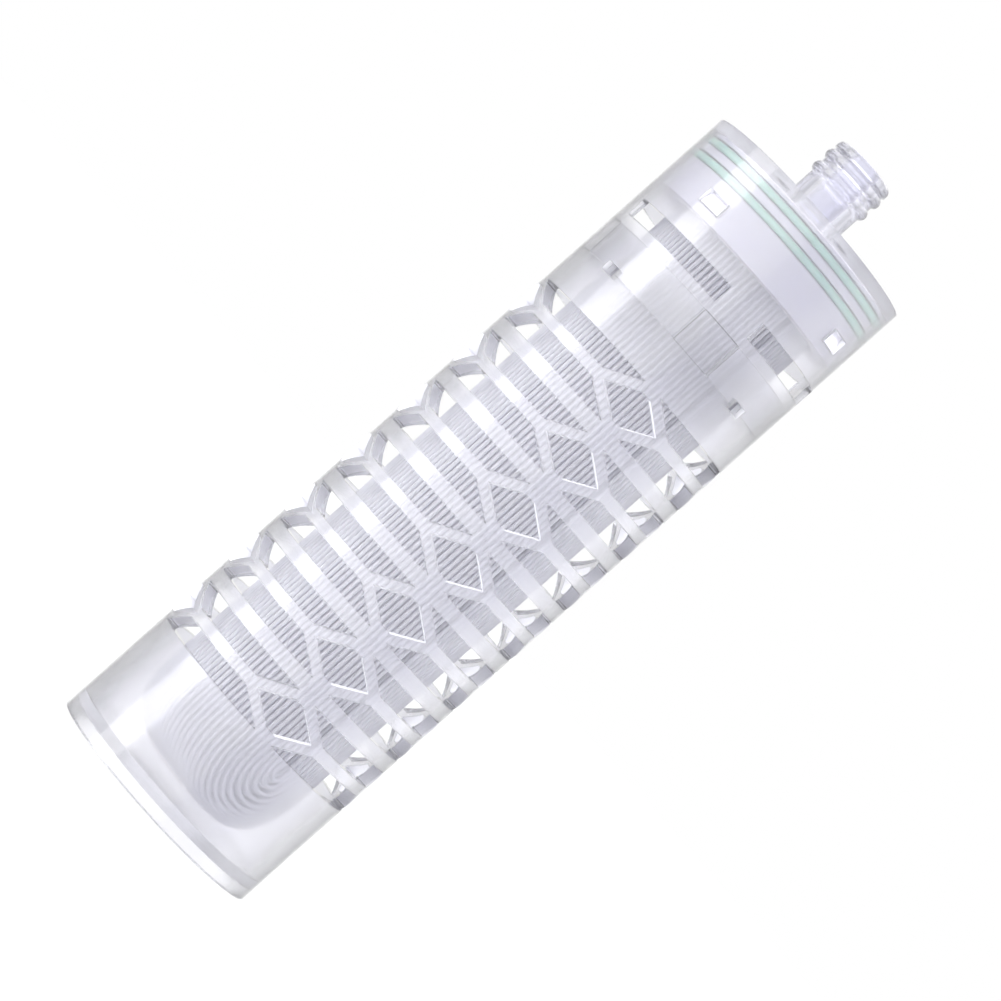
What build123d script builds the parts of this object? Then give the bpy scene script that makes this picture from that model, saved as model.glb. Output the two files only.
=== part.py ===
from build123d import *
import math
import os

os.makedirs("parts", exist_ok=True)

# Sizes are in millimetres and angles in degrees. The axis is Z and the foot stands on Z = 0.

# Body, shared by the cage and the cap
body_diameter = 50.0
quarter_count = 4
quarter_angle = 360.0 / quarter_count
running_gap = 0.1

# Cage: a closed foot, seven rows of windows, a shoulder and a spigot
cage_wall = 2.5
foot_recess = 2.4
foot_width = 3.2
floor_thickness = 2.2
foot_length = 25.1
window_height = 4.3
band_height = 2.4
hoop_height = 3.2
row_count = 7
collar_length = 9.1
spigot_length = 8.0

# Diamond openings between the side windows, drawn on the plane that each one faces
diamond_half_width = 7.2
diamond_half_height = 3.7
diamond_flat = 2.2
diamond_rib = 2.1

# Cap: a skirt over the spigot, inlet slots, snap windows, a lid and a nozzle
skirt_wall = 1.2
cap_length = 35.6
lid_thickness = 2.4
key_angle = 22.0
key_side_gap = 0.4
slot_rise = 10.2
slot_height = 4.0
notch_offset_angle = 34.4
notch_width = 3.3
notch_above = 1.4
notch_below = 0.8

# Nozzle on the lid
nozzle_length = 15.0
nozzle_bore_radius = 3.5
neck_radius = 6.45
neck_length = 6.9
bead_radius = 7.25
bead_width = 2.4
bead_crest = 0.9
bead_gap = 0.9
groove_radius = 6.5
tip_radius = 6.9
tip_chamfer = 1.1

# Potting cup, its hooks and its two seal rings
cup_wall = 4.2
cup_length = 14.2
cup_gap = 0.15
seal_section = 1.5
seal_flat = 0.7
seal_slack = 0.05
seal_groove_width = 2.0
upper_seal_drop = 1.9
seal_spacing = 3.6
hook_rise = 3.5
hook_height = 3.0
hook_tip_height = 1.0
hook_angle = 12.0
hook_reach = 0.9
hook_window_gap = 0.15

# Potting resin
resin_inset = 0.7
resin_depth = 10.4

# Hollow fibres of the outer layer, each folded once into a U. Next to the fold's middle they turn back
# early, and the further round the bundle they stand, the deeper they reach, down to one lowest level.
fibre_diameter = 0.84
fibre_sides = 6
fibre_slots = 94
bundle_inset = 1.13
fibre_clearance_below = 2.2
fold_angle = 29.0
fold_depth = 15.3
fold_full_angle = 50.0
fold_corner_share = 0.4
fold_corner_rise_share = 0.6
fold_corner = 5.0
fold_corner_rise = 6.0

# Left over by cutters, and let into each other where one form is fused to the next
cutting_margin = 1.0
fuse_overlap = 0.2

# Radii and heights that follow from the sizes above
body_radius = body_diameter / 2
cage_bore = body_radius - cage_wall
skirt_bore = body_radius - skirt_wall
spigot_radius = skirt_bore - running_gap
row_pitch = 2 * window_height + band_height + hoop_height
rows_top = foot_length + row_count * row_pitch - hoop_height
shoulder_z = rows_top + collar_length
spigot_top = shoulder_z + spigot_length
floor_top = foot_recess + floor_thickness
lid_top = shoulder_z + cap_length
lid_bottom = lid_top - lid_thickness
slot_bottom = shoulder_z + slot_rise
cup_radius = skirt_bore - cup_gap
cup_bore = cup_radius - cup_wall
cup_bottom = lid_bottom - cup_length
hook_z = cup_bottom + hook_rise
resin_bottom = cup_bottom + resin_inset
resin_top = resin_bottom + resin_depth
seal_groove_radius = skirt_bore - seal_slack - seal_section
seal_heights = [lid_bottom - upper_seal_drop - row * seal_spacing for row in range(2)]
fibre_ring_radius = cup_bore - bundle_inset - fibre_diameter / 2
fold_start_z = floor_top + fibre_clearance_below + fibre_diameter / 2 + fold_depth
cutter_reach = body_radius + cutting_margin


def disc(radius, z_low, z_high):
    """An upright cylinder between two heights."""
    return Pos(0, 0, z_low) * Cylinder(radius, z_high - z_low, align=(Align.CENTER, Align.CENTER, Align.MIN))


def ring(inner, outer, z_low, z_high):
    """An upright tube between two radii and two heights."""
    return disc(outer, z_low, z_high) - disc(inner, z_low, z_high)


def sector(inner, outer, z_low, z_high, middle_angle, wide_angle):
    """A slice of a tube, wide_angle degrees wide, about the direction middle_angle."""
    section = Pos((inner + outer) / 2, (z_low + z_high) / 2) * Rectangle(outer - inner, z_high - z_low)
    profile = Plane.XZ * section
    return Rot(0, 0, middle_angle - wide_angle / 2) * revolve(profile, Axis.Z, wide_angle)


def radial_prism(points, z_middle, angle):
    """A prism with the given outline, running out from the axis in one direction."""
    outline = Plane.YZ * make_face(Polyline(*points, close=True))
    return Rot(0, 0, angle) * Pos(0, 0, z_middle) * extrude(outline, cutter_reach)


def quarter_angles(offset):
    """The same direction in each quarter of the body."""
    return [offset + quarter * quarter_angle for quarter in range(quarter_count)]


def diamond_opening():
    """Corners of the opening, wide across and low, with short flats above and below."""
    flat = diamond_flat / 2
    tip = diamond_half_width
    top = diamond_half_height
    return [(tip, 0), (flat, top), (-flat, top), (-tip, 0), (-flat, -top), (flat, -top)]


def diamond_frame():
    """Corners of the rib round the opening, moved out by its width and cut off at the hoops."""
    flat = diamond_flat / 2
    rise = diamond_half_height
    run = diamond_half_width - flat
    slope_length = math.hypot(rise, run)
    top = window_height + band_height / 2
    side = diamond_half_width + diamond_rib * slope_length / rise
    flat_outer = side - top * run / rise
    return [(side, 0), (flat_outer, top), (-flat_outer, top), (-side, 0), (-flat_outer, -top), (flat_outer, -top)]


def row_cutter():
    """What one row of windows takes out of the wall, with its middle at Z = 0."""
    top = window_height + band_height / 2
    half_band = band_height / 2
    cutter = ring(cage_bore - cutting_margin, cutter_reach, -top, -half_band)
    cutter += ring(cage_bore - cutting_margin, cutter_reach, half_band, top)
    frames = [radial_prism(diamond_frame(), 0, angle) for angle in quarter_angles(0)]
    openings = [radial_prism(diamond_opening(), 0, angle) for angle in quarter_angles(0)]
    return cutter - frames + openings


def make_cage():
    """The moulded basket: foot, window rows, collar and the keyed spigot on top."""
    body = disc(body_radius, 0, shoulder_z) + disc(spigot_radius, shoulder_z, spigot_top)
    body -= disc(cage_bore, floor_top, spigot_top)
    body -= disc(body_radius - foot_width, 0, foot_recess)
    first_middle = foot_length + window_height + band_height / 2
    cutter = row_cutter()
    body -= [Pos(0, 0, first_middle + row * row_pitch) * cutter for row in range(row_count)]
    key_slot_angle = key_angle + math.degrees(2 * key_side_gap / spigot_radius)
    for angle in quarter_angles(0):
        body -= sector(cage_bore - cutting_margin, cutter_reach, shoulder_z, spigot_top, angle, key_slot_angle)
    for angle in quarter_angles(notch_offset_angle - 90):
        body -= notch_prism(angle)
    return body


def notch_prism(angle):
    """The small square hole where the skirt's edge meets the shoulder."""
    half = notch_width / 2
    points = [(half, notch_above), (-half, notch_above), (-half, -notch_below), (half, -notch_below)]
    return radial_prism(points, shoulder_z, angle)


def bead_points(start):
    """One raised ring on the nozzle, with sloped flanks and a flat crest."""
    crest_start = start + (bead_width - bead_crest) / 2
    return [
        (groove_radius, start),
        (bead_radius, crest_start),
        (bead_radius, crest_start + bead_crest),
        (groove_radius, start + bead_width),
    ]


def nozzle_profile():
    """Half section of the nozzle's outside, from the lid to the tip."""
    first_bead = lid_top + neck_length
    second_bead = first_bead + bead_width + bead_gap
    tip_start = second_bead + bead_width + bead_gap / 2
    nozzle_top = lid_top + nozzle_length
    points = [(0, lid_bottom), (neck_radius, lid_bottom), (neck_radius, first_bead)]
    points += bead_points(first_bead) + bead_points(second_bead)
    points += [(groove_radius, tip_start), (tip_radius, tip_start), (tip_radius, nozzle_top - tip_chamfer)]
    points += [(tip_radius - tip_chamfer, nozzle_top), (0, nozzle_top)]
    return Plane.XZ * make_face(Polyline(*points, close=True))


def make_cap():
    """The moulded cap: skirt, keys, inlet slots, snap windows, lid and nozzle."""
    body = disc(body_radius, shoulder_z, lid_top) - disc(skirt_bore, shoulder_z, lid_bottom)
    cut_from = skirt_bore - cutting_margin
    slot_angle = quarter_angle - key_angle
    slot_top = slot_bottom + slot_height
    hook_window_angle = hook_angle + math.degrees(2 * hook_window_gap / skirt_bore)
    hook_window_bottom = hook_z - hook_height / 2 - hook_window_gap
    hook_window_top = hook_z + hook_height / 2 + hook_window_gap
    for angle in quarter_angles(0):
        body += sector(cage_bore, skirt_bore + fuse_overlap, shoulder_z, spigot_top, angle, key_angle)
    for angle in quarter_angles(quarter_angle / 2):
        body -= sector(cut_from, cutter_reach, slot_bottom, slot_top, angle, slot_angle)
        body -= sector(cut_from, cutter_reach, hook_window_bottom, hook_window_top, angle, hook_window_angle)
    for angle in quarter_angles(notch_offset_angle - 90):
        body -= notch_prism(angle)
    body += revolve(nozzle_profile(), Axis.Z)
    body -= disc(nozzle_bore_radius, lid_bottom, lid_top + nozzle_length)
    return body


def make_cup():
    """The cup that holds the resin, with two seal grooves and four hooks."""
    body = ring(cup_bore, cup_radius, cup_bottom, lid_bottom)
    for height in seal_heights:
        half = seal_groove_width / 2
        body -= ring(seal_groove_radius, cup_radius + cutting_margin, height - half, height + half)
    low = hook_z - hook_height / 2
    outline = [
        (cup_radius - fuse_overlap, low),
        (cup_radius + hook_reach, low),
        (cup_radius + hook_reach, low + hook_tip_height),
        (cup_radius, low + hook_height),
        (cup_radius - fuse_overlap, low + hook_height),
    ]
    profile = Plane.XZ * make_face(Polyline(*outline, close=True))
    hook = revolve(profile, Axis.Z, hook_angle)
    for angle in quarter_angles(quarter_angle / 2):
        body += Rot(0, 0, angle - hook_angle / 2) * hook
    return body


def make_seal(height):
    """A rubber ring, squeezed flat against the bore and the groove, with sloped free sides."""
    half = seal_section / 2
    flat = seal_flat / 2
    outer = skirt_bore - seal_slack / 2
    inner = outer - seal_section
    middle = (outer + inner) / 2
    outline = [(outer, -flat), (outer, flat), (middle, half), (inner, flat), (inner, -flat), (middle, -half)]
    profile = Plane.XZ * make_face(Polyline(*outline, close=True))
    return Pos(0, 0, height) * revolve(profile, Axis.Z)


def make_fibre(slot):
    """One fibre of the outer layer: down from the resin, round the fold and back up."""
    angle = 360.0 / fibre_slots * slot
    half_width = fibre_ring_radius * math.sin(math.radians(angle))
    depth = fibre_ring_radius * math.cos(math.radians(angle))
    from_middle = min(angle, 180.0 - angle)
    drop = fold_depth * math.sin(math.radians(90.0 * min(from_middle / fold_full_angle, 1.0)))
    corner = min(fold_corner_share * half_width, fold_corner)
    corner_rise = min(fold_corner_rise_share * drop, fold_corner_rise)
    lowest = fold_start_z - drop
    points = [
        (half_width, depth, resin_bottom),
        (half_width, depth, lowest + corner_rise),
        (half_width - corner, depth, lowest),
        (corner - half_width, depth, lowest),
        (-half_width, depth, lowest + corner_rise),
        (-half_width, depth, resin_bottom),
    ]
    path = Polyline(*points)
    start = Plane(origin=points[0], x_dir=(1, 0, 0), z_dir=(0, 0, -1))
    section = start * RegularPolygon(fibre_diameter / 2, fibre_sides)
    tube = sweep(section, path=path, transition=Transition.RIGHT)
    return Rot(0, 0, fold_angle - 180) * tube


export_step(make_cage(), "parts/cage.step")
export_step(make_cap(), "parts/cap.step")
export_step(make_cup(), "parts/potting_cup.step")
export_step(disc(cup_bore, resin_bottom, resin_top), "parts/potting_resin.step")
export_step(make_seal(seal_heights[0]), "parts/upper_seal_ring.step")
export_step(make_seal(seal_heights[1]), "parts/lower_seal_ring.step")
for slot in range(1, fibre_slots // 2):
    export_step(make_fibre(slot), f"parts/fibre_{slot:02d}.step")
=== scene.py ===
import math

import bmesh
import bpy
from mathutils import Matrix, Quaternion, Vector


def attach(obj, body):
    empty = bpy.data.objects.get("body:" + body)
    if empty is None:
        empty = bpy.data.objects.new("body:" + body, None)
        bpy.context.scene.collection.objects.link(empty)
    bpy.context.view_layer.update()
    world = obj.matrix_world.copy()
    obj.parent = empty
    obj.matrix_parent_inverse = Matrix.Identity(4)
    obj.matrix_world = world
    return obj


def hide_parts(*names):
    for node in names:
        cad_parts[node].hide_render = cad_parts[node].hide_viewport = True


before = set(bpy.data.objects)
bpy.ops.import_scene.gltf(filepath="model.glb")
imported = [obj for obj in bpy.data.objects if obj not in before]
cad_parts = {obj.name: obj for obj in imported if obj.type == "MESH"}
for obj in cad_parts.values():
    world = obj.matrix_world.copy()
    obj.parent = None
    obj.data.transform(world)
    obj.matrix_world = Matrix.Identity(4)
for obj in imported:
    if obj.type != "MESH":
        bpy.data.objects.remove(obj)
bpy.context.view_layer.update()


# Cage
# The basket that guards the fibres, injection moulded in one piece from clear styrene acrylonitrile.
# Seven rows of windows let the water in all round, and side cores in the mould leave a diamond between
# them on each of the four sides. Its foot is closed, and the spigot on top takes the cap.

# Sizes here and below are in millimetres, and angles in degrees.
wall_outside = 25.0
wall_inside = 22.5
foot_recess = 2.4
foot_ring_inside = 21.8
floor_top = 4.6
foot_rings = (7.0, 14.5)
first_row_middle = 30.6
row_pitch = 14.2
row_count = 7
half_band = 1.2
window_top = 5.5
half_row = 7.1
rows_bottom = first_row_middle - half_row
rows_top = first_row_middle + row_pitch * (row_count - 1) + half_row
diamond_tip = 7.2
diamond_top = 3.7
diamond_flat = 1.1
diamond_run = 6.1
frame_tip = 11.25
rib_split = 0.5
shoulder = 130.4
spigot_outside = 23.7
spigot_top = 138.4
key_slot_side = 12.0
notch_sides = (30.45, 38.5)
notch_heights = (129.6, 131.8)
matt_from = 24.0
sharp_angle = 32.0

# How many steps the faces have, round half a quarter and up the diamond's side.
rib_steps = 1
frame_steps = 3
hoop_steps = 11
band_steps = 9
side_steps = 4


def linear(hex_colour):
    """The linear colour of an sRGB hex value."""
    parts = [int(hex_colour[i : i + 2], 16) / 255 for i in (1, 3, 5)]
    return [p / 12.92 if p <= 0.04045 else ((p + 0.055) / 1.055) ** 2.4 for p in parts] + [1.0]


def start_material(name):
    """A new material, and its node tree without any node."""
    material = bpy.data.materials.new(name)
    material.use_nodes = True
    material.node_tree.nodes.clear()
    return material, material.node_tree


def add_node(tree, kind, values=None, **settings):
    """Adds a node, sets its settings, and gives its inputs their values or links them to other outputs."""
    made = tree.nodes.new(kind)
    for name, value in settings.items():
        setattr(made, name, value)
    for name, value in (values or {}).items():
        if isinstance(value, bpy.types.NodeSocket):
            tree.links.new(value, made.inputs[name])
        else:
            made.inputs[name].default_value = value
    return made


def corner(skin, radius, angle, height):
    """The index of the skin's point at a radius, an angle in degrees and a height, in millimetres."""
    turn = math.radians(angle)
    point = (radius * math.cos(turn), radius * math.sin(turn), height)
    key = tuple(round(value, 3) for value in point)
    if key not in skin["index"]:
        skin["index"][key] = len(skin["points"])
        skin["points"].append([value / 1000 for value in point])
    return skin["index"][key]


def close_face(skin, corners):
    """Adds the face between some corners, leaving out doubled ones."""
    loop = [c for i, c in enumerate(corners) if c != corners[i - 1]]
    if len(set(loop)) > 2:
        skin["faces"].append(loop)


def from_quarter(angle):
    """The angle from the nearest of the four sides' middles."""
    return (angle + 45) % 90 - 45


def skin_cells(skin, radii, columns, heights, filled):
    """Skins the filled cells between some radii, columns and heights. filled gives 1 for a filled cell, 0 for
    an empty one and 2 where another form goes on. The sides of notches and hook windows are noted as matt."""
    rings, sides, floors = len(radii) - 1, len(columns), len(heights) - 1
    turns = list(columns) + [columns[0] + 360]

    def middle(steps, i):
        return (steps[i] + steps[i + 1]) / 2

    def state(i, j, k):
        if not (0 <= i < rings and 0 <= k < floors):
            return 0
        return filled(middle(radii, i), middle(turns, j % sides), middle(heights, k))

    def close_side(corners, j, k):
        close_face(skin, corners)
        if heights[k] >= notch_heights[0] and abs(from_quarter(middle(turns, j))) > matt_from:
            skin["matt"].append(len(skin["faces"]) - 1)

    for i in range(rings):
        for j in range(sides):
            for k in range(floors):
                if state(i, j, k) != 1:
                    continue
                box = [
                    [
                        [corner(skin, radii[i + a], turns[j + b], heights[k + c]) for c in (0, 1)]
                        for b in (0, 1)
                    ]
                    for a in (0, 1)
                ]
                if not state(i + 1, j, k):
                    close_face(skin, [box[1][0][0], box[1][1][0], box[1][1][1], box[1][0][1]])
                if not state(i - 1, j, k):
                    close_face(skin, [box[0][0][0], box[0][0][1], box[0][1][1], box[0][1][0]])
                if not state(i, j + 1, k):
                    close_side([box[0][1][0], box[0][1][1], box[1][1][1], box[1][1][0]], j, k)
                if not state(i, j - 1, k):
                    close_side([box[0][0][0], box[1][0][0], box[1][0][1], box[0][0][1]], j, k)
                if not state(i, j, k + 1):
                    close_face(skin, [box[0][0][1], box[1][0][1], box[1][1][1], box[0][1][1]])
                if not state(i, j, k - 1):
                    close_face(skin, [box[0][0][0], box[0][1][0], box[1][1][0], box[1][0][0]])


def skin_patch(skin, low, high, heights, rows, place, open_sides="", matt_side=""):
    """Skins a patch of the wall inside and outside, between two lines of points that low and high give for a
    radius, and closes its thickness along the open sides, one of which may be matt."""
    grids = []
    for radius in (wall_outside, wall_inside):
        below, above = low(radius), high(radius)
        grid = []
        for row in range(rows + 1):
            t = row / rows
            height = heights[0] + (heights[1] - heights[0]) * t
            grid.append([corner(skin, radius, *place(a + (b - a) * t, height)) for a, b in zip(below, above)])
        for lower, upper in zip(grid[:-1], grid[1:]):
            for i in range(len(lower) - 1):
                close_face(skin, [lower[i], lower[i + 1], upper[i + 1], upper[i]])
        grids.append(grid)
    outer, inner = grids
    edges = {
        "bottom": (outer[0], inner[0]),
        "top": (outer[-1], inner[-1]),
        "left": ([line[0] for line in outer], [line[0] for line in inner]),
        "right": ([line[-1] for line in outer], [line[-1] for line in inner]),
    }
    for side in open_sides.split():
        near, far = edges[side]
        for i in range(len(near) - 1):
            close_face(skin, [near[i], near[i + 1], far[i + 1], far[i]])
            if side == matt_side:
                skin["matt"].append(len(skin["faces"]) - 1)


def mesh_piece(skin, name, edge_round):
    """Makes the skin a smooth piece, with its sharp edges rounded by so many millimetres if that isn't 0."""
    mesh = bpy.data.meshes.new(name)
    mesh.from_pydata(skin["points"], [], skin["faces"])
    for face in skin.get("matt", []):
        mesh.polygons[face].material_index = 1
    work = bmesh.new()
    work.from_mesh(mesh)
    bmesh.ops.recalc_face_normals(work, faces=work.faces)
    work.to_mesh(mesh)
    work.free()
    mesh.shade_smooth()
    mesh.set_sharp_from_angle(angle=math.radians(sharp_angle))
    piece = bpy.data.objects.new(name, mesh)
    bpy.context.scene.collection.objects.link(piece)
    if edge_round:
        rounding = piece.modifiers.new("edges", "BEVEL")
        rounding.width = edge_round / 1000
        rounding.segments = 2
        rounding.limit_method = "ANGLE"
        rounding.angle_limit = math.radians(sharp_angle)
        rounding.harden_normals = True
    return piece


def spread(start, end, parts):
    """Points from start to end across the face that a side core cuts, or up to a fixed angle."""

    def points(radius):
        first, last = [
            value if isinstance(value, int) else math.degrees(math.asin(value / radius))
            for value in (start, end)
        ]
        return [first + (last - first) * i / parts for i in range(parts + 1)]

    return points


def columns_over(*stretches):
    """Angles over stretches that follow on each other, each with its start, its end and its equal steps."""
    angles = []
    for lower, upper, steps in stretches:
        angles = angles[:-1] + [lower + (upper - lower) * i / steps for i in range(steps + 1)]
    return angles


hoop_columns = columns_over((0, 45, rib_steps + frame_steps + hoop_steps))
collar_columns = {
    1: columns_over(
        (0, key_slot_side, 4),
        (key_slot_side, notch_sides[0], 6),
        (notch_sides[0], notch_sides[1], 3),
        (notch_sides[1], 45, 2),
    ),
    -1: columns_over((0, key_slot_side, 4), (key_slot_side, 45, 11)),
}


def all_round(half_quarters):
    """The columns of all four quarters, from those of the two halves of one."""
    quarter = [-angle for angle in reversed(half_quarters[-1][1:])] + list(half_quarters[1][:-1])
    return [angle + 90 * q for q in range(4) for angle in quarter]


def row_patches(skin, middle, ends):
    """One row of windows and diamonds about its middle height. ends gives the columns of its two edges."""
    slope = diamond_run / diamond_top
    opening_side = diamond_tip - half_band * slope
    frame_side = frame_tip - half_band * slope
    frame_at_top = frame_tip - diamond_top * slope
    frame_end = frame_tip - window_top * slope
    for quarter in range(4):
        for turn in (1, -1):
            for rise in (1, -1):

                def place(angle, height, q=quarter, s=turn, r=rise):
                    return 90 * q + s * angle, middle + r * height

                edge = ends[rise][turn]
                band = (0, half_band)
                side = (half_band, diamond_top)
                rib = (diamond_top, window_top)
                hoop = (window_top, half_row)
                skin_patch(
                    skin,
                    spread(diamond_tip, frame_side, frame_steps),
                    spread(opening_side, frame_side, frame_steps),
                    band,
                    1,
                    place,
                    "left",
                    "left",
                )
                beyond = spread(frame_side, 45, band_steps)
                skin_patch(skin, beyond, beyond, band, 1, place, "top")
                frame_top = spread(diamond_flat, frame_at_top, frame_steps)
                skin_patch(
                    skin,
                    spread(opening_side, frame_side, frame_steps),
                    frame_top,
                    side,
                    side_steps,
                    place,
                    "left right",
                    "left",
                )
                rib_root = spread(0.0, diamond_flat, rib_steps)
                rib_top = spread(0.0, rib_split, rib_steps)
                skin_patch(skin, rib_root, rib_top, rib, 2, place, "bottom")
                frame_root = spread(rib_split, frame_end, frame_steps)
                skin_patch(skin, frame_top, frame_root, rib, 2, place, "right")
                rib_end = rib_steps + frame_steps
                skin_patch(skin, rib_top, lambda radius: edge[: rib_steps + 1], hoop, 1, place)
                skin_patch(skin, frame_root, lambda radius: edge[rib_steps : rib_end + 1], hoop, 1, place)
                hoop_side = spread(frame_end, 45, hoop_steps)
                skin_patch(skin, hoop_side, lambda radius: edge[rib_end:], hoop, 1, place, "bottom")


def foot_filled(radius, angle, height):
    """Where the closed foot is solid."""
    if height > rows_bottom:
        return 2
    if height < foot_recess:
        return radius > foot_ring_inside
    return height < floor_top or radius > wall_inside


def collar_filled(radius, angle, height):
    """Where the collar and its spigot are solid."""
    from_axis = from_quarter(angle)
    if height < rows_top:
        return 2 * (radius > wall_inside)
    if notch_sides[0] < from_axis < notch_sides[1] and notch_heights[0] < height < notch_heights[1]:
        return 0
    if height < shoulder:
        return 1
    return radius < spigot_outside and abs(from_axis) > key_slot_side


cage_skin = {"index": {}, "points": [], "faces": [], "matt": []}
plain_columns = {1: hoop_columns, -1: hoop_columns}
skin_cells(
    cage_skin,
    [0, *foot_rings, foot_ring_inside, wall_inside, wall_outside],
    all_round(plain_columns),
    [0, foot_recess, floor_top, rows_bottom, rows_bottom + 1],
    foot_filled,
)
for row in range(row_count):
    upper = collar_columns if row == row_count - 1 else plain_columns
    row_patches(cage_skin, first_row_middle + row * row_pitch, {1: upper, -1: plain_columns})
skin_cells(
    cage_skin,
    [wall_inside, spigot_outside, wall_outside],
    all_round(collar_columns),
    [rows_top - 1, rows_top, notch_heights[0], shoulder, notch_heights[1], spigot_top],
    collar_filled,
)
cage = mesh_piece(cage_skin, "moulded_cage", 0)

# Clear styrene acrylonitrile, moulded: bright and nearly colourless with a faint blue cast, a fine haze, and
# slow ripples where the melt flowed round the cores. The ripples are 6 mm long, and the fine tool marks are
# drawn at 0.5 mm. The nozzle, above the lid, comes clearer, and its colour there is a darker grey violet
# that is painted shade. Edges are rounded by 0.3 mm in the shading.
ripple_length = 0.006
mark_size = 0.0005
edge_radius = 0.0003
nozzle_from = 0.1655
nozzle_clear = 0.1665
clear_plastic, tree = start_material("moulded_clear_styrene_acrylonitrile")
place = add_node(tree, "ShaderNodeTexCoord")
ripple = add_node(
    tree, "ShaderNodeTexNoise", {"Vector": place.outputs["Object"], "Scale": 1 / ripple_length, "Detail": 1.0}
)
marks = add_node(
    tree, "ShaderNodeTexNoise", {"Vector": place.outputs["Object"], "Scale": 1 / mark_size, "Detail": 2.0}
)
tint = add_node(
    tree,
    "ShaderNodeMix",
    {"Factor": ripple.outputs["Fac"], "A": linear("#f5f5fb"), "B": linear("#fbfbfe")},
    data_type="RGBA",
)
haze = add_node(tree, "ShaderNodeMapRange", {"Value": marks.outputs["Fac"], "To Min": 0.13, "To Max": 0.17})
spot = add_node(tree, "ShaderNodeSeparateXYZ", {"Vector": place.outputs["Object"]})
on_nozzle = add_node(
    tree,
    "ShaderNodeMapRange",
    {"Value": spot.outputs["Z"], "From Min": nozzle_from, "From Max": nozzle_clear},
)
rough = add_node(
    tree,
    "ShaderNodeMix",
    {"Factor": on_nozzle.outputs["Result"], "A": haze.outputs["Result"], "B": 0.16},
    data_type="FLOAT",
)
clear_part = add_node(
    tree, "ShaderNodeMapRange", {"Value": on_nozzle.outputs["Result"], "To Min": 0.92, "To Max": 0.97}
)
# On the nozzle the colour turns a darker grey violet. This is painted shade, because the nozzle is the same
# plastic.
shade = add_node(
    tree,
    "ShaderNodeMix",
    {"Factor": on_nozzle.outputs["Result"], "A": tint.outputs["Result"], "B": linear("#e8e8f2")},
    data_type="RGBA",
)
soft_edges = add_node(tree, "ShaderNodeBevel", {"Radius": edge_radius}, samples=4)
swell = add_node(
    tree,
    "ShaderNodeBump",
    {
        "Height": ripple.outputs["Fac"],
        "Strength": 0.15,
        "Distance": 0.0004,
        "Normal": soft_edges.outputs["Normal"],
    },
)
plastic = add_node(
    tree,
    "ShaderNodeBsdfPrincipled",
    {
        "Base Color": shade.outputs["Result"],
        "Roughness": rough.outputs["Result"],
        "IOR": 1.57,
        "Transmission Weight": clear_part.outputs["Result"],
        "Normal": swell.outputs["Normal"],
        "Coat Weight": 0.6,
        "Coat Roughness": 0.1,
        "Coat Normal": swell.outputs["Normal"],
    },
)
depth = add_node(tree, "ShaderNodeVolumeAbsorption", {"Color": linear("#cdcddb"), "Density": 14.0})
add_node(
    tree, "ShaderNodeOutputMaterial", {"Surface": plastic.outputs["BSDF"], "Volume": depth.outputs["Volume"]}
)
cage.data.materials.append(clear_plastic)

# The same plastic where cores slid out of the diamonds, notches and hook windows: their ground faces leave it
# matt and white. The grinding marks are drawn at 0.3 mm.
matt_plastic, tree = start_material("ground_core_face_styrene_acrylonitrile")
place = add_node(tree, "ShaderNodeTexCoord")
grind = add_node(
    tree, "ShaderNodeTexNoise", {"Vector": place.outputs["Object"], "Scale": 1 / 0.0003, "Detail": 1.0}
)
colour = add_node(
    tree,
    "ShaderNodeMix",
    {"Factor": grind.outputs["Fac"], "A": linear("#eeeef4"), "B": linear("#f6f6fa")},
    data_type="RGBA",
)
matt = add_node(
    tree,
    "ShaderNodeBsdfPrincipled",
    {"Base Color": colour.outputs["Result"], "Roughness": 0.6, "IOR": 1.57},
)
add_node(tree, "ShaderNodeOutputMaterial", {"Surface": matt.outputs["BSDF"]})
cage.data.materials.append(matt_plastic)
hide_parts("cage")
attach(cage, "root")


# Fibres
# Several hundred hollow fibres, spun from white porous membrane and folded once into a U. Next to the fold's
# middle they turn back early, and further round they reach deeper, so the bundle's lower end is a flat dome.
fibre_radius = 0.44
fibre_pitch = 1.196
outer_ring = 17.9
layer_step = 0.75
layer_count = 9
matched_layers = 5
inner_pitch = 1.0
fold_angle = 29.0
fold_start = 22.5
fold_depth = 15.3
fold_full_angle = 50.0
fold_squareness = 0.9
fibre_sharp_angle = 60.0
solid_fibres = 46
resin_underside = 150.1


def fold_line(ring, angle, layer, steps):
    """Points along one fibre, from the resin down round its fold and back up."""
    half_width = ring * math.sin(math.radians(angle))
    across = ring * math.cos(math.radians(angle))
    share = min(min(angle, 180 - angle) / fold_full_angle, 1)
    drop = (fold_depth - layer * layer_step) * math.sin(math.pi / 2 * share)
    power = 2 / (2 + fold_squareness * half_width / outer_ring)
    line = [(half_width, across, resin_underside)]
    for step in range(steps + 1):
        turn = math.pi * step / steps
        side = math.copysign(abs(math.cos(turn)) ** power, math.cos(turn))
        line.append((half_width * side, across, fold_start - drop * max(math.sin(turn), 0) ** power))
    line.append((-half_width, across, resin_underside))
    return [Vector(point) for point in line]


def fibre_tube(points, faces, line, sides):
    """Adds a round tube along a flat line, in millimetres."""
    start = len(points)
    for i, point in enumerate(line):
        ahead = (line[min(i + 1, len(line) - 1)] - line[max(i - 1, 0)]).normalized()
        up = Vector((0, 1, 0))
        out = ahead.cross(up).normalized()
        for side in range(sides):
            turn = 2 * math.pi * side / sides
            points.append(point + (out * math.cos(turn) + up * math.sin(turn)) * fibre_radius)
    for i in range(len(line) - 1):
        for side in range(sides):
            a = start + i * sides + side
            b = start + i * sides + (side + 1) % sides
            faces.append([a, a + sides, b + sides, b])
    faces.append(list(range(start, start + sides)))
    faces.append(list(range(len(points) - sides, len(points)))[::-1])


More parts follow.
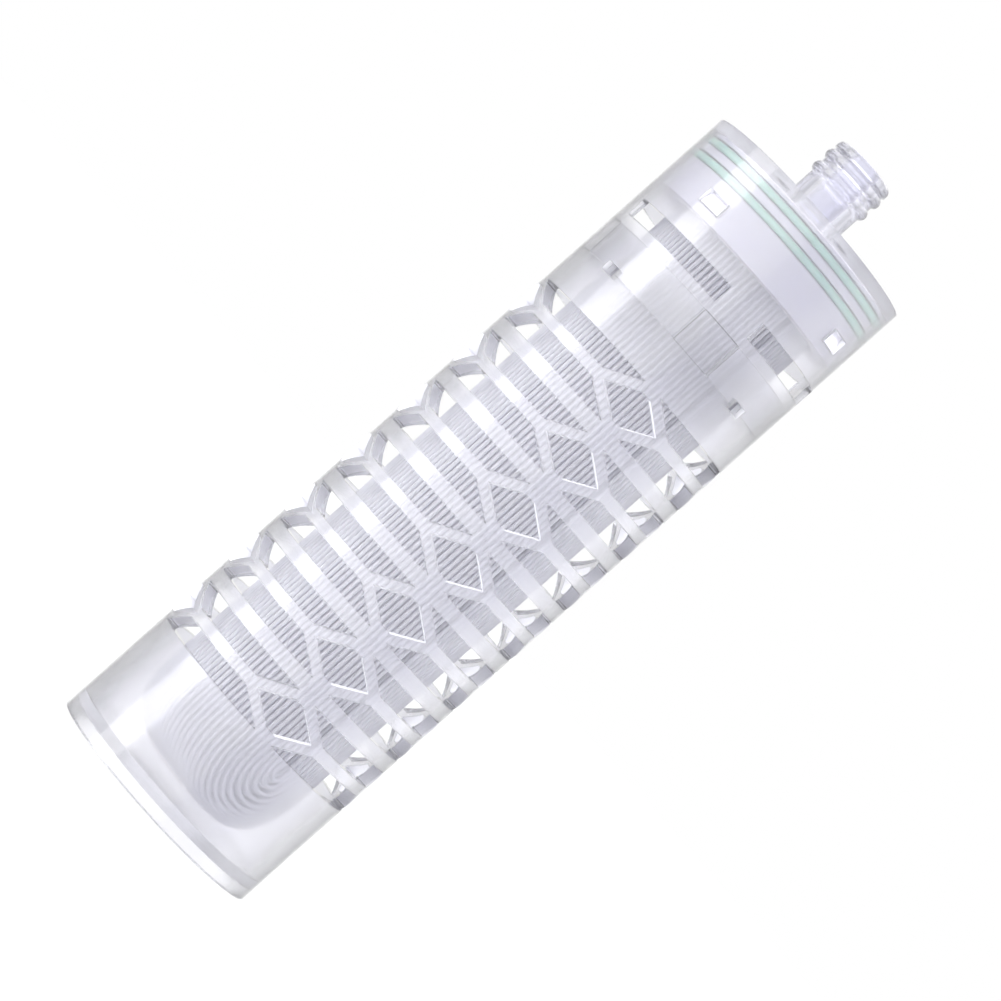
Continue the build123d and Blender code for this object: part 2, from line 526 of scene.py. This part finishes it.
def fibre_layer(points, faces, layer, sides, steps):
    """Adds one layer of the bundle. The first layers have equally many fibres, and every other layer is
    turned by half a slot, so that each fibre lies behind a gap."""
    ring = outer_ring - layer * layer_step
    round_ring = outer_ring / fibre_pitch if layer < matched_layers else ring / inner_pitch
    slots = 2 * round(math.pi * round_ring)
    odd = layer % 2
    for slot in range(1, slots // 2 + odd):
        fibre_tube(points, faces, fold_line(ring, 360 / slots * (slot - odd / 2), layer, steps), sides)


def fibre_piece(name, points, faces):
    """Turns the fibres to the fold's own angle and makes them one smooth piece."""
    turn = Quaternion((0, 0, 1), math.radians(fold_angle))
    mesh = bpy.data.meshes.new(name)
    mesh.from_pydata([turn @ point / 1000 for point in points], [], faces)
    mesh.shade_smooth()
    mesh.set_sharp_from_angle(angle=math.radians(fibre_sharp_angle))
    piece = bpy.data.objects.new(name, mesh)
    bpy.context.scene.collection.objects.link(piece)
    return piece


outer_points, outer_faces = [], []
fibre_layer(outer_points, outer_faces, 0, sides=10, steps=26)
outer_fibres = fibre_piece("outer_fibres", outer_points, outer_faces)
inner_points, inner_faces = [], []
for layer in range(1, layer_count):
    fibre_layer(inner_points, inner_faces, layer, sides=6, steps=14)
inner_fibres = fibre_piece("inner_fibres", inner_points, inner_faces)

# Polyethersulfone membrane, wet spun: matt white, with a fine open skin that lets some light through. The
# pores are far below a millimetre, so the skin is drawn with a grain of 0.15 mm. Each fibre has its own faint
# shade, which changes over 1.2 mm across the bundle and 30 mm along it.
membrane, tree = start_material("spun_polyethersulfone_membrane")
place = add_node(tree, "ShaderNodeTexCoord")
stretch = add_node(
    tree,
    "ShaderNodeMapping",
    {"Vector": place.outputs["Object"], "Scale": (1 / 0.0012, 1 / 0.0012, 1 / 0.03)},
)
shade = add_node(
    tree, "ShaderNodeTexNoise", {"Vector": stretch.outputs["Vector"], "Scale": 1.0, "Detail": 1.0}
)
colour = add_node(
    tree,
    "ShaderNodeMix",
    {"Factor": shade.outputs["Fac"], "A": linear("#f7f7fc"), "B": linear("#fdfdff")},
    data_type="RGBA",
)
pores = add_node(
    tree, "ShaderNodeTexNoise", {"Vector": place.outputs["Object"], "Scale": 1 / 0.00015, "Detail": 2.0}
)
grain = add_node(
    tree, "ShaderNodeBump", {"Height": pores.outputs["Fac"], "Strength": 0.3, "Distance": 0.00003}
)
skin_shader = add_node(
    tree,
    "ShaderNodeBsdfPrincipled",
    {
        "Base Color": colour.outputs["Result"],
        "Roughness": 0.55,
        "IOR": 1.6,
        "Normal": grain.outputs["Normal"],
    },
)
glow_through = add_node(
    tree, "ShaderNodeBsdfTranslucent", {"Color": colour.outputs["Result"], "Normal": grain.outputs["Normal"]}
)
wall = add_node(
    tree, "ShaderNodeMixShader", {0: 0.6, 1: skin_shader.outputs["BSDF"], 2: glow_through.outputs["BSDF"]}
)
add_node(tree, "ShaderNodeOutputMaterial", {"Surface": wall.outputs["Shader"]})
for piece in (outer_fibres, inner_fibres):
    piece.data.materials.append(membrane)
    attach(piece, "root")
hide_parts(*[f"fibre_{number:02d}" for number in range(1, solid_fibres + 1)])


# Potting resin
# Epoxy cast into the cup while the fibres stand in it. It seals the gaps between them, and its top is cut
# flat so that their open ends face the outlet.
resin_radius = 19.45
resin_top = 160.5
resin_sides = 96


def turned_face(skin, turns, start, end):
    """Adds the face that the line between two (radius, height) points sweeps between two angles."""
    low, high = turns
    near = [corner(skin, start[0], low, start[1]), corner(skin, start[0], high, start[1])]
    close_face(skin, near + [corner(skin, end[0], high, end[1]), corner(skin, end[0], low, end[1])])


def turned_piece(name, outline, sides, edge_round):
    """A piece turned from a closed outline of (radius, height) points."""
    skin = {"index": {}, "points": [], "faces": []}
    for start, end in zip(outline, outline[1:] + outline[:1]):
        for side in range(sides):
            turned_face(skin, (360 / sides * side, 360 / sides * (side + 1)), start, end)
    return mesh_piece(skin, name, edge_round)


resin = turned_piece(
    "cast_resin",
    [(0, resin_underside), (resin_radius, resin_underside), (resin_radius, resin_top), (0, resin_top)],
    resin_sides,
    0,
)

# Epoxy, cast: cloudy and faintly violet, with slow clouds about 5 mm wide where the fibres show through.
epoxy, tree = start_material("cast_epoxy")
place = add_node(tree, "ShaderNodeTexCoord")
clouds = add_node(
    tree, "ShaderNodeTexNoise", {"Vector": place.outputs["Object"], "Scale": 1 / 0.005, "Detail": 2.0}
)
colour = add_node(
    tree,
    "ShaderNodeMix",
    {"Factor": clouds.outputs["Fac"], "A": linear("#f7f6fd"), "B": linear("#fbfbff")},
    data_type="RGBA",
)
cast = add_node(
    tree, "ShaderNodeBsdfPrincipled", {"Base Color": colour.outputs["Result"], "Roughness": 0.3, "IOR": 1.55}
)
add_node(tree, "ShaderNodeOutputMaterial", {"Surface": cast.outputs["BSDF"]})
resin.data.materials.append(epoxy)
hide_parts("potting_resin")
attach(resin, "root")


# Potting cup
# A moulded tube that holds the resin and the fibre ends, pushed up into the cap until its four hooks snap out
# through the windows. Two grooves hold the seal rings against the cap's bore.
cup_outside = 23.65
cup_bore = 19.45
cup_bottom = 149.4
cup_top = 163.6
seal_groove = 22.25
seal_heights = (158.1, 161.7)
groove_half = 1.0
hook_half_angle = 6.0
hook_bottom = 151.4
hook_tip = 152.4
hook_top = 154.4
hook_reach = 0.9
cup_sides = 120
cup_edge_round = 0.15
hook_edge_round = 0.12

cup_outline = [(cup_bore, cup_bottom), (cup_outside, cup_bottom)]
for height in seal_heights:
    cup_outline += [
        (cup_outside, height - groove_half),
        (seal_groove, height - groove_half),
        (seal_groove, height + groove_half),
        (cup_outside, height + groove_half),
    ]
cup_outline += [(cup_outside, cup_top), (cup_bore, cup_top)]
cup = turned_piece("potting_cup_shell", cup_outline, cup_sides, cup_edge_round)
hook_skin = {"index": {}, "points": [], "faces": []}
for quarter in range(4):
    middle = 45 + 90 * quarter
    turns = [middle - hook_half_angle + hook_half_angle * i / 3 for i in range(7)]
    section = [
        (cup_outside, hook_bottom),
        (cup_outside + hook_reach, hook_bottom),
        (cup_outside + hook_reach, hook_tip),
        (cup_outside, hook_top),
    ]
    for part in zip(turns[:-1], turns[1:]):
        for start, end in zip(section, section[1:] + section[:1]):
            turned_face(hook_skin, part, start, end)
    for end in (turns[0], turns[-1]):
        close_face(hook_skin, [corner(hook_skin, radius, end, height) for radius, height in section])
hooks = mesh_piece(hook_skin, "cup_hooks", hook_edge_round)

# The same plastic, moulded with a fine spark-eroded finish: light passes through but the surface scatters it,
# so the cup looks frosted. The finish is drawn with a grain of 0.2 mm.
frosted_plastic, tree = start_material("moulded_frosted_styrene_acrylonitrile")
place = add_node(tree, "ShaderNodeTexCoord")
frost = add_node(
    tree, "ShaderNodeTexNoise", {"Vector": place.outputs["Object"], "Scale": 1 / 0.0002, "Detail": 2.0}
)
colour = add_node(
    tree,
    "ShaderNodeMix",
    {"Factor": frost.outputs["Fac"], "A": linear("#dad9e3"), "B": linear("#e1e0ea")},
    data_type="RGBA",
)
rough = add_node(tree, "ShaderNodeMapRange", {"Value": frost.outputs["Fac"], "To Min": 0.3, "To Max": 0.45})
frosted = add_node(
    tree,
    "ShaderNodeBsdfPrincipled",
    {
        "Base Color": colour.outputs["Result"],
        "Roughness": rough.outputs["Result"],
        "IOR": 1.57,
        "Subsurface Weight": 0.4,
        "Subsurface Radius": (0.002, 0.002, 0.0022),
    },
)
add_node(tree, "ShaderNodeOutputMaterial", {"Surface": frosted.outputs["BSDF"]})
for piece in (cup, hooks):
    piece.data.materials.append(frosted_plastic)
    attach(piece, "root")
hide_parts("potting_cup")


# Seal rings
# Two cords of soft green rubber, moulded as closed rings and rolled into the cup's grooves. The cap's bore
# squeezes them, which keeps water from passing the fibres, and their section is a circle a little squared.
seal_middle = 23.025
seal_half = 0.75
seal_power = 0.8
seal_corners = 16
seal_sides = 120

# Silicone rubber, moulded: satin, slightly see-through, with a faint dusty bloom drawn at 0.4 mm.
silicone, tree = start_material("moulded_green_silicone")
place = add_node(tree, "ShaderNodeTexCoord")
bloom = add_node(
    tree, "ShaderNodeTexNoise", {"Vector": place.outputs["Object"], "Scale": 1 / 0.0004, "Detail": 1.0}
)
colour = add_node(
    tree,
    "ShaderNodeMix",
    {"Factor": bloom.outputs["Fac"], "A": linear("#b9e3cc"), "B": linear("#c8ecd8")},
    data_type="RGBA",
)
rubber = add_node(
    tree,
    "ShaderNodeBsdfPrincipled",
    {"Base Color": colour.outputs["Result"], "Roughness": 0.4, "IOR": 1.41, "Subsurface Weight": 0.2},
)
add_node(tree, "ShaderNodeOutputMaterial", {"Surface": rubber.outputs["BSDF"]})
for name, node, height in (
    ("lower_seal", "lower_seal_ring", seal_heights[0]),
    ("upper_seal", "upper_seal_ring", seal_heights[1]),
):
    cord = [
        (
            seal_middle + seal_half * math.copysign(abs(math.cos(turn)) ** seal_power, math.cos(turn)),
            height + seal_half * math.copysign(abs(math.sin(turn)) ** seal_power, math.sin(turn)),
        )
        for turn in [2 * math.pi / seal_corners * i for i in range(seal_corners)]
    ]
    seal = turned_piece(name, cord, seal_sides, 0)
    seal.data.materials.append(silicone)
    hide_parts(node)
    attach(seal, "root")


# Cap
# Moulded in one piece from the same clear plastic as the cage. Its skirt slips over the spigot, with four
# keys in the spigot's slots, and four long slots above them open onto the bundle. The nozzle on the lid plugs
# into the filter's head, and its two raised rings hold it there.
skirt_bore = 23.8
lid_underside = 163.6
lid_top = 166.0
key_side = 11.0
slot_heights = (140.6, 144.6)
hook_window_side = 38.5
hook_window_heights = (151.25, 154.55)
neck_radius = 6.45
groove_radius = 6.5
bead_radius = 7.25
bead_starts = (172.9, 176.2)
bead_width = 2.4
bead_steps = 12
bead_power = 0.6
bead_gap = 0.3
tip_radius = 6.9
tip_start = 179.05
tip_slope = 0.15
tip_round = 1.1
nozzle_top = 181.0
nozzle_bore = 3.5
bore_round = 0.3
lid_ring = 14.0


def cap_filled(radius, angle, height):
    """Where the cap's skirt, keys and lid are solid."""
    from_axis = from_quarter(angle)
    if height > lid_top:
        return 2 * (radius < neck_radius)
    if height > lid_underside:
        return 1
    if radius < skirt_bore:
        return radius > wall_inside and height < spigot_top and abs(from_axis) < key_side
    if notch_sides[0] < from_axis < notch_sides[1] and height < notch_heights[1]:
        return 0
    if slot_heights[0] < height < slot_heights[1] and abs(from_axis) > key_side:
        return 0
    low, high = hook_window_heights
    return not (low < height < high and abs(from_axis) > hook_window_side)


def arc(middle, radius, start, end, steps):
    """Points on an arc about a (radius, height) point, between two angles."""
    turns = [math.radians(start + (end - start) * step / steps) for step in range(steps + 1)]
    return [(middle[0] + radius * math.cos(turn), middle[1] + radius * math.sin(turn)) for turn in turns]


cap_columns = all_round(
    {
        1: columns_over(
            (0, key_side, 4),
            (key_side, notch_sides[0], 6),
            (notch_sides[0], notch_sides[1], 3),
            (notch_sides[1], 45, 2),
        ),
        -1: columns_over((0, key_side, 4), (key_side, hook_window_side, 9), (hook_window_side, 45, 2)),
    }
)
cap_skin = {"index": {}, "points": [], "faces": [], "matt": []}
skin_cells(
    cap_skin,
    [nozzle_bore, neck_radius, lid_ring, wall_inside, skirt_bore, wall_outside],
    cap_columns,
    [
        shoulder,
        notch_heights[1],
        spigot_top,
        *slot_heights,
        *hook_window_heights,
        lid_underside,
        lid_top,
        lid_top + 1,
    ],
    cap_filled,
)
nozzle = [(neck_radius, lid_top), (neck_radius, bead_starts[0] - bead_gap)]
for start in bead_starts:
    for step in range(bead_steps + 1):
        along = step / bead_steps
        rise = math.sin(math.pi * along) ** bead_power if 0 < step < bead_steps else 0
        nozzle.append((groove_radius + (bead_radius - groove_radius) * rise, start + bead_width * along))
nozzle += [(groove_radius, tip_start - tip_slope), (tip_radius, tip_start + tip_slope)]
nozzle += arc((tip_radius - tip_round, nozzle_top - tip_round), tip_round, 0, 90, 8)
nozzle += arc((nozzle_bore + bore_round, nozzle_top - bore_round), bore_round, 90, 180, 4)
nozzle.append((nozzle_bore, lid_top))
turns = list(cap_columns) + [cap_columns[0] + 360]
for start, end in zip(nozzle[:-1], nozzle[1:]):
    for part in zip(turns[:-1], turns[1:]):
        turned_face(cap_skin, part, start, end)
cap = mesh_piece(cap_skin, "moulded_cap", 0)
cap.data.materials.append(clear_plastic)
cap.data.materials.append(matt_plastic)
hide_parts("cap")
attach(cap, "root")


# Studio
# A plain pale table in a white room. One tall soft lamp to the left makes the long white glare along the
# body, and the room's own brightness does the rest.
table_radius = 3000.0
table_sides = 64
table_top = -0.05
floor_skin = {"index": {}, "points": [], "faces": []}
rim = [corner(floor_skin, table_radius, 360 / table_sides * side, table_top) for side in range(table_sides)]
close_face(floor_skin, rim)
table = mesh_piece(floor_skin, "floor", 0)

# Painted board, matt white with a faint mottle 20 mm wide. To the camera, and through the clear plastic,
# most of it glows white, and the rest keeps the cartridge's shadow. Reflections pass it, so that the glare
# runs down to the foot.
floor_glow = 0.9
white_board, tree = start_material("painted_white_board")
place = add_node(tree, "ShaderNodeTexCoord")
paint = add_node(
    tree, "ShaderNodeTexNoise", {"Vector": place.outputs["Object"], "Scale": 1 / 0.02, "Detail": 2.0}
)
colour = add_node(
    tree,
    "ShaderNodeMix",
    {"Factor": paint.outputs["Fac"], "A": linear("#f2f2f2"), "B": linear("#f6f6f6")},
    data_type="RGBA",
)
board = add_node(tree, "ShaderNodeBsdfDiffuse", {"Color": colour.outputs["Result"]})
glow = add_node(tree, "ShaderNodeEmission", {"Color": (1, 1, 1, 1), "Strength": 1.0})
ray = add_node(tree, "ShaderNodeLightPath")
seen = add_node(
    tree,
    "ShaderNodeMath",
    {0: ray.outputs["Is Camera Ray"], 1: ray.outputs["Is Transmission Ray"]},
    operation="MAXIMUM",
)
part = add_node(tree, "ShaderNodeMath", {0: seen.outputs["Value"], 1: floor_glow}, operation="MULTIPLY")
lit = add_node(
    tree,
    "ShaderNodeMixShader",
    {0: part.outputs["Value"], 1: board.outputs["BSDF"], 2: glow.outputs["Emission"]},
)
gap = add_node(tree, "ShaderNodeBsdfTransparent")
surface = add_node(
    tree,
    "ShaderNodeMixShader",
    {0: ray.outputs["Is Glossy Ray"], 1: lit.outputs["Shader"], 2: gap.outputs["BSDF"]},
)
add_node(tree, "ShaderNodeOutputMaterial", {"Surface": surface.outputs["Shader"]})
table.data.materials.append(white_board)

# Where the camera stands: a little to the left of the cartridge's front.
view_turn = math.radians(-11.0)
toward_camera = Vector((math.sin(view_turn), -math.cos(view_turn), 0))
camera_right = Vector((math.cos(view_turn), math.sin(view_turn), 0))

# The room's brightness round the cartridge, at angles from the camera, to the right: a wide pale screen from
# the left to straight behind the camera, dimmer to the right, and darker panels beyond both sides that draw
# the clear edges. Above it is a bright ceiling. The two last values are the heights at which it starts and
# takes over, with the zenith at 1.
room_levels = (
    (-180, 1.0, "#ffffff"),
    (-168, 1.0, "#ffffff"),
    (-156, 0.6, "#ffffff"),
    (-112, 0.6, "#ffffff"),
    (-92, 1.2, "#ffffff"),
    (-79, 1.6, "#ffffff"),
    (-62, 2.0, "#ffffff"),
    (-42, 1.95, "#ffffff"),
    (-10, 1.85, "#ffffff"),
    (9, 1.65, "#ffffff"),
    (17, 1.3, "#f8f8ff"),
    (60, 1.35, "#f8f8ff"),
    (84, 1.7, "#ffffff"),
    (112, 1.2, "#ffffff"),
    (156, 0.6, "#ffffff"),
    (168, 1.0, "#ffffff"),
    (180, 1.0, "#ffffff"),
)
room_peak = 2.0
ceiling_level = 2.3
ceiling_start = 0.3
ceiling_full = 0.6

room = bpy.data.worlds.new("white_room")
bpy.context.scene.world = room
room.use_nodes = True
tree = room.node_tree
tree.nodes.clear()
ray = add_node(tree, "ShaderNodeLightPath")
direction = add_node(tree, "ShaderNodeTexCoord")
ahead = add_node(
    tree,
    "ShaderNodeVectorMath",
    {0: direction.outputs["Generated"], 1: toward_camera},
    operation="DOT_PRODUCT",
)
aside = add_node(
    tree,
    "ShaderNodeVectorMath",
    {0: direction.outputs["Generated"], 1: camera_right},
    operation="DOT_PRODUCT",
)
turn = add_node(
    tree, "ShaderNodeMath", {0: aside.outputs["Value"], 1: ahead.outputs["Value"]}, operation="ARCTAN2"
)
round_room = add_node(
    tree, "ShaderNodeMapRange", {"Value": turn.outputs["Value"], "From Min": -math.pi, "From Max": math.pi}
)
levels = add_node(tree, "ShaderNodeValToRGB", {"Fac": round_room.outputs["Result"]})
stops = levels.color_ramp.elements
while len(stops) < len(room_levels):
    stops.new(0.5)
for stop, (angle, level, colour) in zip(stops, room_levels):
    stop.position = (angle + 180) / 360
    stop.color = [part * level / room_peak for part in linear(colour)[:3]] + [1.0]
height = add_node(tree, "ShaderNodeSeparateXYZ", {"Vector": direction.outputs["Generated"]})
above = add_node(
    tree,
    "ShaderNodeMapRange",
    {"Value": height.outputs["Z"], "From Min": ceiling_start, "From Max": ceiling_full},
    interpolation_type="SMOOTHSTEP",
)
sides = add_node(tree, "ShaderNodeBackground", {"Color": levels.outputs["Color"], "Strength": room_peak})
ceiling = add_node(tree, "ShaderNodeBackground", {"Color": (1, 1, 1, 1), "Strength": ceiling_level})
walls = add_node(
    tree, "ShaderNodeMixShader", {0: above.outputs["Result"], 1: sides.outputs[0], 2: ceiling.outputs[0]}
)
backdrop = add_node(tree, "ShaderNodeBackground", {"Color": (1, 1, 1, 1), "Strength": 1.0})
room_light = add_node(
    tree,
    "ShaderNodeMixShader",
    {0: ray.outputs["Is Camera Ray"], 1: walls.outputs[0], 2: backdrop.outputs[0]},
)
add_node(tree, "ShaderNodeOutputWorld", {"Surface": room_light.outputs["Shader"]})

# The lamp, in watts, metres and degrees to the camera's left. It is aimed at the cartridge's middle.
lamp_power = 2.1
lamp_width = 0.3
lamp_height = 1.0
lamp_angle = math.radians(65)
lamp_distance = 0.6
lamp_aim = Vector((0, 0, 0.09))
light = bpy.data.lights.new("key_softbox", "AREA")
light.energy = lamp_power
light.shape = "RECTANGLE"
light.size, light.size_y = lamp_width, lamp_height
lamp = bpy.data.objects.new("key_softbox", light)
lamp_side = toward_camera * math.cos(lamp_angle) - camera_right * math.sin(lamp_angle)
lamp.location = lamp_side * lamp_distance + lamp_aim
lamp.rotation_mode = "QUATERNION"
lamp.rotation_quaternion = (lamp_aim - lamp.location).to_track_quat("-Z", "Y")
bpy.context.scene.collection.objects.link(lamp)
bpy.context.scene.view_settings.view_transform = "Standard"


# Camera
# Square to the body's axis and rolled, so that the cartridge lies from lower left to upper right. Lengths
# are in metres, apart from the sensor's width.
camera_distance = 0.75
picture_width = 0.1902
aim_height = 0.0868
aim_right = 0.0011
roll = math.radians(48.3)
sensor_width = 36.0
sight = Vector((0, 0, aim_height)) + camera_right * aim_right
lens = bpy.data.cameras.new("camera")
lens.sensor_width = sensor_width
lens.lens = sensor_width * camera_distance / picture_width
lens.clip_start = 0.01
camera = bpy.data.objects.new("camera", lens)
camera.location = sight + toward_camera * camera_distance
camera.rotation_mode = "QUATERNION"
upright = (-toward_camera).to_track_quat("-Z", "Y")
camera.rotation_quaternion = upright @ Quaternion((0, 0, 1), roll)
bpy.context.scene.collection.objects.link(camera)
bpy.context.scene.camera = camera
